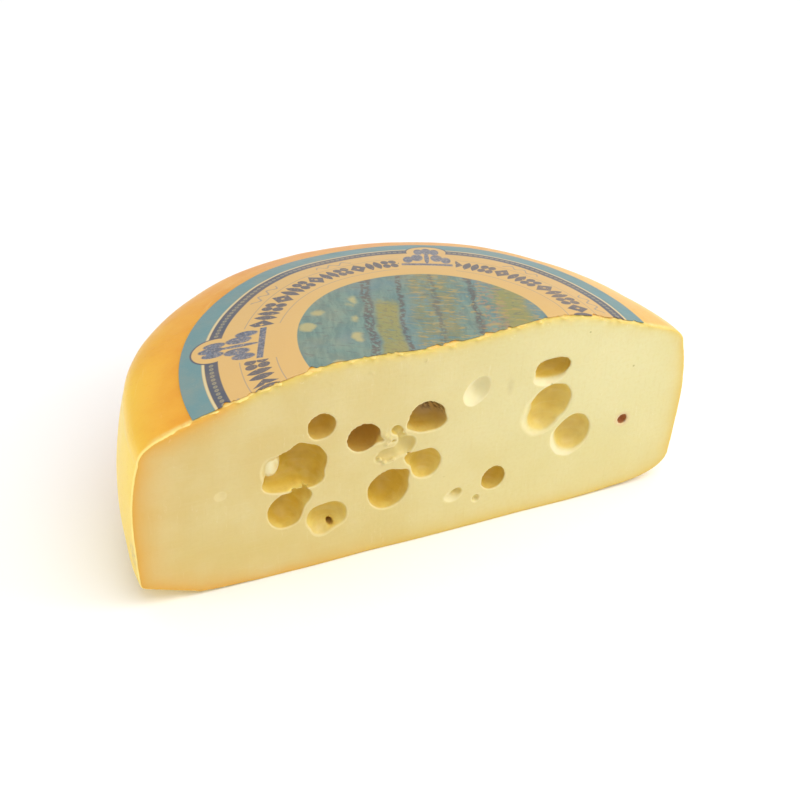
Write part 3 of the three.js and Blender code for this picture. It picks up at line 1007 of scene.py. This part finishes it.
def ornaments(m, at, colour, away):
    """Bold ornaments between the medallions: a lozenge, four petals and a pair of leaves in turn."""
    place_in = m.math("FLOORED_MODULO", at.angle, ORNAMENT_SPACING) - ORNAMENT_SPACING / 2
    t = m.math("ABSOLUTE", place_in * DEGREE * at.radius)
    v = m.math("ABSOLUTE", at.radius - ORNAMENTS_AT)
    kind = m.math("FLOORED_MODULO", m.math("FLOOR", at.angle / ORNAMENT_SPACING), 3.0)
    lozenge = m.band(t / 5.0 + v / 7.4, 0.2, 1.0, 0.06)
    petals = m.step(m.from_point(t - 2.4, v - 3.4, 1.2, 0.6), 2.8, 2.4)
    leaves = m.step(m.math("ABSOLUTE", t - 2.5) / 2.4 + (v / 7.2) * (v / 7.2), 1.06, 0.9)
    ornament = (
        lozenge * m.step(kind, 0.6, 0.4)
        + petals * m.band(kind, 0.6, 1.4, 0.1)
        + leaves * m.step(kind, 1.5, 1.6)
    )
    worn = m.step(m.noise(at.place, 1.3, 2), 0.2, 0.42)
    return m.mix(ornament * away * worn * 0.92, colour, NAVY)


def thin_lines(m, at, colour, away):
    """Two thin rings, and a scroll on each side of a medallion."""
    lines = m.either(*(m.band(at.radius, line - 0.3, line + 0.3, 0.2) for line in THIN_LINES)) * away * 0.5
    scroll = m.band(at.radius - SCROLL_AT - m.math("SINE", at.angle * 1.5) * 2.1, -0.7, 0.7, 0.3)
    scroll = scroll * m.band(m.math("ABSOLUTE", at.turn) / DEGREE, 25.0, 37.0) * 0.6
    return m.mix(m.either(lines, scroll), colour, SLATE)


def loose_paint(m, at):
    """The round picture: upright strips of loose paint, broken by short dabs across them."""
    sway = m.noise(at.place, 16, 3) * 9.0 - 4.5
    u = at.x * 0.9 - (at.y + 5.0) * 0.29 + sway
    v = at.x * 0.44 + at.y * 0.9
    dabs = m.noise(m.together(u * 0.12, v * 0.4, 3.0), 1.0, 3, 0.7)
    dashes = m.noise(m.together(u * 0.13, v * 0.42, 8.0), 1.0, 2, 0.6)
    strokes = m.noise(m.together(u * 0.3, v * 0.06, 5.0), 1.0, 3, 0.6)
    flecks = m.noise(m.together(u * 0.35, v * 0.4, 11.0), 1.0, 2, 0.6)
    picture = m.mix(m.step(strokes, 0.35, 0.65), linear("6d8c82"), linear("587a76"))
    picture = m.mix(m.step(m.noise(at.place, 30, 2), 0.42, 0.62) * 0.6, picture, linear("567e88"))
    patch = m.band(u, -26.0, -13.0, 2.0) * m.step(v + flecks * 12.0, 52.0, 42.0)
    olive = m.either(patch, m.band(u, 40.0, 57.0, 4.0))
    mottled = m.band(u, -5.0, 19.0, 4.0)
    picture = m.mix(olive * m.step(dabs, 0.25, 0.46) * 0.85, picture, linear("8d8a48"))
    picture = m.mix(patch * m.step(flecks, 0.5, 0.62) * 0.4, picture, linear("6a6650"))
    picture = m.mix(mottled * m.step(dabs, 0.42, 0.54) * 0.7, picture, linear("7f7d50"))
    dark = m.either(
        m.band(u, -33.0, -27.5, 1.0),
        m.band(u, -12.6, -9.6, 0.8),
        m.band(u, 27.0, 31.0, 1.2),
        m.band(u, 6.0, 9.5, 1.0) * 0.7,
    )
    picture = m.mix(dark * m.step(flecks, 0.4, 0.52) * 0.9, picture, linear("4e5254"))
    reddish = m.band(u, 31.0, 44.0, 2.0) * m.step(flecks, 0.5, 0.58)
    picture = m.mix(reddish * 0.7, picture, linear("9b8069"))
    golden = m.step(dashes, 0.56, 0.62) * m.step(u, -12.0, -2.0)
    picture = m.mix(golden * 0.55, picture, linear("b39550"))
    picture = m.mix(m.step(dashes, 0.4, 0.34) * 0.45, picture, linear("4d5c64"))
    afloat = m.spots(at.place, 16.0) + m.noise(at.place, 4.0, 2) * 0.2
    afloat = m.step(afloat, 0.48, 0.3) * m.step(u, -35.0, -38.0)
    return m.mix(afloat * 0.75, picture, linear("bcae72"))


def label_material():
    m = Maker("label_print")
    (x, y, _), place = m.place()
    y = y - float(AXIS_Y)
    own_x = x - LABEL_SHIFT
    radius = m.from_point(own_x, y) + LABEL_INSET
    angle = m.math("ARCTAN2", y, own_x) / DEGREE
    turn = (m.math("FLOORED_MODULO", angle - MEDALLION_TURN, 90.0) - 45.0) * DEGREE
    across = radius * m.math("SINE", turn)
    out = radius * m.math("COSINE", turn)
    at = Spread(x, y, place, radius, angle, turn, across, m.math("ABSOLUTE", across), out)
    away = m.step(at.side, 17.0, 17.6)  # from the medallions

    colour = rings(m, at)
    colour = medallions(m, at, colour)
    colour = ornaments(m, at, colour, away)
    colour = thin_lines(m, at, colour, away)
    from_middle = m.from_point(x - PICTURE_MIDDLE[0], y - PICTURE_MIDDLE[1])
    colour = m.mix(m.step(from_middle, PICTURE_RADIUS + 0.6, PICTURE_RADIUS), colour, loose_paint(m, at))

    # Glaze: uneven, with a breath of the rind's orange
    glaze = m.noise(place, 24, 4, 0.6)
    colour = m.mix(m.step(glaze, 0.35, 0.8) * 0.14 + 0.04, colour, linear("d2a25c"))
    colour = m.mix(m.step(m.noise(place, 1.4, 3), 0.55, 0.85) * 0.14, colour, linear("ccb68a"))
    relief = m.noise(place, 11, 4, 0.55) * 0.8 + m.noise(place, 0.8, 2) * 0.1
    m.set(Base_Color=colour, Roughness=0.36, Normal=m.bump(relief, 0.5), Specular_IOR_Level=0.5)
    return m.material


def floor_material():
    m = Maker("pale_floor")
    _, place = m.place()
    m.set(Base_Color=m.mix(m.noise(place, 300, 2) * 0.3, linear("fbfbfa"), linear("f4f4f3")), Roughness=0.7)
    return m.material


# ------------------------------------------------------------
# Stage
# ------------------------------------------------------------

# Metres and degrees
FLOOR_SIZE = 80.0
FLOOR_DROP = 0.0003
LAMPS_AIM = (0, 0, 0.07)
WORLD_STRENGTH = 0.5

CAMERA_AZIMUTH = -26.045
CAMERA_ELEVATION = 35.336
CAMERA_ROLL = 3.206
CAMERA_DISTANCE = 0.8689
CAMERA_AIM = (-18.4, 106.5)  # millimetres, across the cut face and above the base
CAMERA_LENS = 70.14


def make_floor():
    half = FLOOR_SIZE / 2 / MM
    drop = -FLOOR_DROP / MM
    corners = np.array([(-half, -half, drop), (half, -half, drop), (half, half, drop), (-half, half, drop)])
    floor = make_object("floor", corners, np.array([[0, 1, 2, 3]]))
    floor.data.materials.append(floor_material())


def look_from(azimuth, elevation, roll, distance, target):
    """The place and turn of something that looks at a target from an azimuth and elevation."""
    a, e = math.radians(azimuth), math.radians(elevation)
    back = Vector((math.sin(a) * math.cos(e), -math.cos(a) * math.cos(e), math.sin(e)))
    turn = back.to_track_quat("Z", "Y").to_matrix().to_4x4()
    turn = turn @ Matrix.Rotation(math.radians(roll), 4, "Z")
    return Matrix.Translation(Vector(target) + back * distance) @ turn


def make_light(name, azimuth, elevation, distance, size, power):
    light = bpy.data.lights.new(name, "AREA")
    light.shape = "DISK"
    light.size = size
    light.energy = power
    lamp = bpy.data.objects.new(name, light)
    lamp.matrix_world = look_from(azimuth, elevation, 0, distance, LAMPS_AIM)
    bpy.context.scene.collection.objects.link(lamp)


def make_sun(name, azimuth, elevation, spread, strength):
    light = bpy.data.lights.new(name, "SUN")
    light.angle = math.radians(spread)
    light.energy = strength
    lamp = bpy.data.objects.new(name, light)
    lamp.matrix_world = look_from(azimuth, elevation, 0, 2.0, (0, 0, 0))  # only its turn matters
    bpy.context.scene.collection.objects.link(lamp)


def make_lights():
    make_light("key_light", 58, 34, distance=1.05, size=0.6, power=3.6)
    make_light("left_light", -96, 20, distance=1.4, size=0.5, power=4.0)
    make_sun("front_top", 12, 60, spread=50, strength=1.15)
    make_sun("ceiling", 150, 62, spread=100, strength=0.6)
    world = bpy.data.worlds.new("studio")
    world.use_nodes = True
    background = world.node_tree.nodes["Background"]
    background.inputs["Color"].default_value = (1, 1, 1, 1)
    background.inputs["Strength"].default_value = WORLD_STRENGTH
    bpy.context.scene.world = world


def make_camera():
    data = bpy.data.cameras.new("camera")
    data.lens = CAMERA_LENS
    camera = bpy.data.objects.new("camera", data)
    across, up = CAMERA_AIM
    aim = Vector((across, CUT_Y, up)) * MM
    camera.matrix_world = look_from(CAMERA_AZIMUTH, CAMERA_ELEVATION, CAMERA_ROLL, CAMERA_DISTANCE, aim)
    bpy.context.scene.collection.objects.link(camera)
    bpy.context.scene.camera = camera


# ------------------------------------------------------------
# Scene
# ------------------------------------------------------------

make_camera()
make_lights()
make_floor()

cheese = make_cheese()
cheese.data.materials.append(cheese_material())
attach(cheese, "root")
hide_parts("cheese")

label = make_label()
label.data.materials.append(label_material())
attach(label, "root")
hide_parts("label")

bpy.context.scene.view_settings.view_transform = "Standard"
